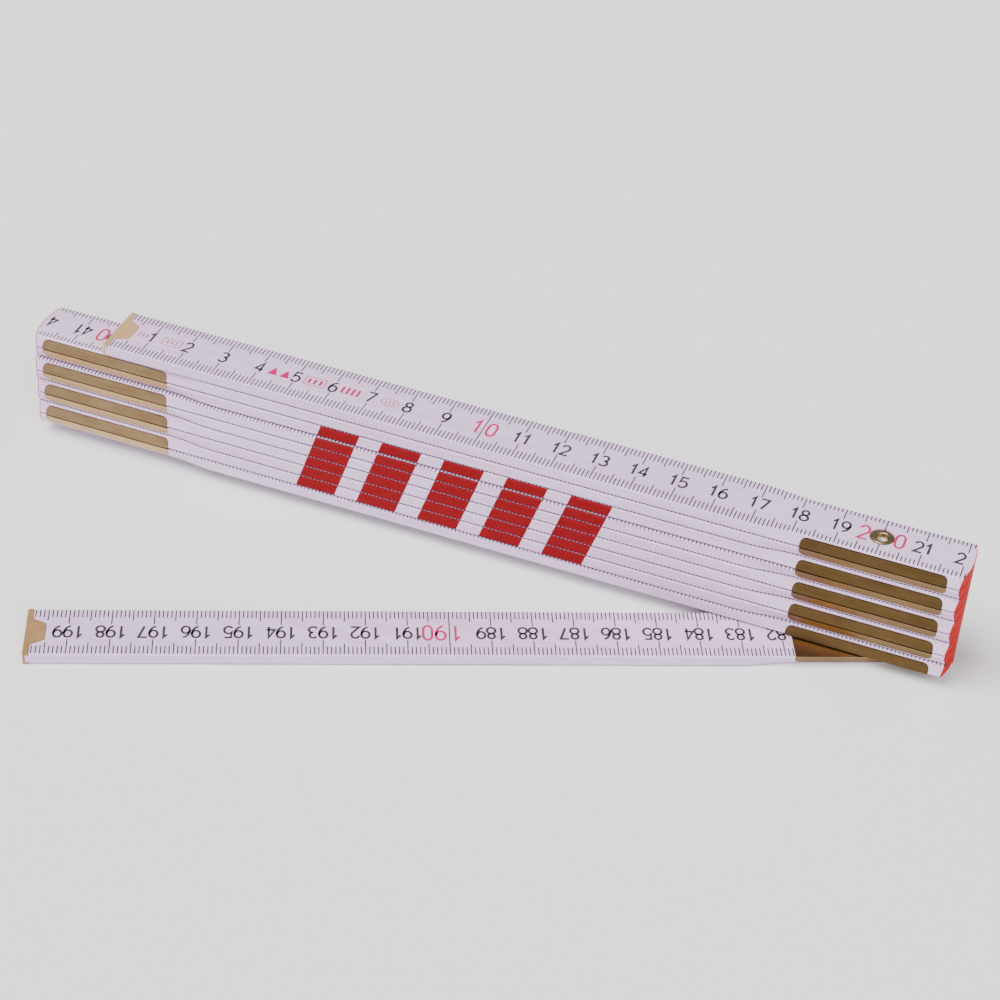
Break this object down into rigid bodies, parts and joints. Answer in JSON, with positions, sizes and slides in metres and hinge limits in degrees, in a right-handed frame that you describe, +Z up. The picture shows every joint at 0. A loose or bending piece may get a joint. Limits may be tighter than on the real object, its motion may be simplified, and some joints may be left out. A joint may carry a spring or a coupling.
{
  "type": "folding rule",
  "caption": "Folding wooden measuring rule with lacquered limbs, riveted brass spring joints and capped ends, stacked with the lowest limb swung out.",
  "frame": {"origin": "centre of the bounding box of the whole rule at the level of the surface it lies on", "axes": "+X along the stacked limbs towards the odd-numbered joints' end, +Y away from the side the last limb swings out to, +Z up through the stack along every hinge axis"},
  "size_m": [0.2432, 0.1044, 0.0337],
  "materials": {
    "lacquered_beech": "satin white lacquer over beech, printed scale",
    "joint_sheet": "brass-plated spring steel sheet",
    "rivet_brass": "polished",
    "cap_brass": "satin"
  },
  "bodies": {
    "limb_01_body": {"limb_01": "lacquered_beech", "cap_zero_end": "cap_brass", "joint_1_upper_plate": "joint_sheet", "joint_1_rivet": "rivet_brass"},
    "limb_02_body": {"limb_02": "lacquered_beech", "joint_1_lower_plate": "joint_sheet", "joint_2_upper_plate": "joint_sheet", "joint_2_rivet": "rivet_brass"},
    "limb_03_body": {"limb_03": "lacquered_beech", "joint_2_lower_plate": "joint_sheet", "joint_3_upper_plate": "joint_sheet", "joint_3_rivet": "rivet_brass"},
    "limb_04_body": {"limb_04": "lacquered_beech", "joint_3_lower_plate": "joint_sheet", "joint_4_upper_plate": "joint_sheet", "joint_4_rivet": "rivet_brass"},
    "limb_05_body": {"limb_05": "lacquered_beech", "joint_4_lower_plate": "joint_sheet", "joint_5_upper_plate": "joint_sheet", "joint_5_rivet": "rivet_brass"},
    "limb_06_body": {"limb_06": "lacquered_beech", "joint_5_lower_plate": "joint_sheet", "joint_6_upper_plate": "joint_sheet", "joint_6_rivet": "rivet_brass"},
    "limb_07_body": {"limb_07": "lacquered_beech", "joint_6_lower_plate": "joint_sheet", "joint_7_upper_plate": "joint_sheet", "joint_7_rivet": "rivet_brass"},
    "limb_08_body": {"limb_08": "lacquered_beech", "joint_7_lower_plate": "joint_sheet", "joint_8_upper_plate": "joint_sheet", "joint_8_rivet": "rivet_brass"},
    "limb_09_body": {"limb_09": "lacquered_beech", "joint_8_lower_plate": "joint_sheet", "joint_9_upper_plate": "joint_sheet", "joint_9_rivet": "rivet_brass"},
    "limb_10_body": {"limb_10": "lacquered_beech", "joint_9_lower_plate": "joint_sheet", "cap_far_end": "cap_brass"}
  },
  "joints": [
    {"name": "hinge_1", "type": "hinge", "parent": "limb_01_body", "child": "limb_02_body", "pos_m": [0.0994, 0.03646, 0.03045], "axis": [0, 0, 1], "range_deg": [0, 180]},
    {"name": "hinge_2", "type": "hinge", "parent": "limb_02_body", "child": "limb_03_body", "pos_m": [-0.1006, 0.03646, 0.02705], "axis": [0, 0, -1], "range_deg": [0, 180]},
    {"name": "hinge_3", "type": "hinge", "parent": "limb_03_body", "child": "limb_04_body", "pos_m": [0.0994, 0.03646, 0.02365], "axis": [0, 0, 1], "range_deg": [-0.2, 179.8]},
    {"name": "hinge_4", "type": "hinge", "parent": "limb_04_body", "child": "limb_05_body", "pos_m": [-0.1006, 0.03576, 0.02025], "axis": [0, 0, -1], "range_deg": [0, 180]},
    {"name": "hinge_5", "type": "hinge", "parent": "limb_05_body", "child": "limb_06_body", "pos_m": [0.0994, 0.03646, 0.01685], "axis": [0, 0, 1], "range_deg": [0, 180]},
    {"name": "hinge_6", "type": "hinge", "parent": "limb_06_body", "child": "limb_07_body", "pos_m": [-0.1006, 0.03576, 0.01345], "axis": [0, 0, -1], "range_deg": [0, 180]},
    {"name": "hinge_7", "type": "hinge", "parent": "limb_07_body", "child": "limb_08_body", "pos_m": [0.0994, 0.03646, 0.01005], "axis": [0, 0, 1], "range_deg": [0, 180]},
    {"name": "hinge_8", "type": "hinge", "parent": "limb_08_body", "child": "limb_09_body", "pos_m": [-0.1006, 0.03576, 0.00665], "axis": [0, 0, -1], "range_deg": [0, 180]},
    {"name": "hinge_9", "type": "hinge", "parent": "limb_09_body", "child": "limb_10_body", "pos_m": [0.0994, 0.03646, 0.00325], "axis": [0, 0, 1], "range_deg": [-23.8, 156.2]}
  ]
}
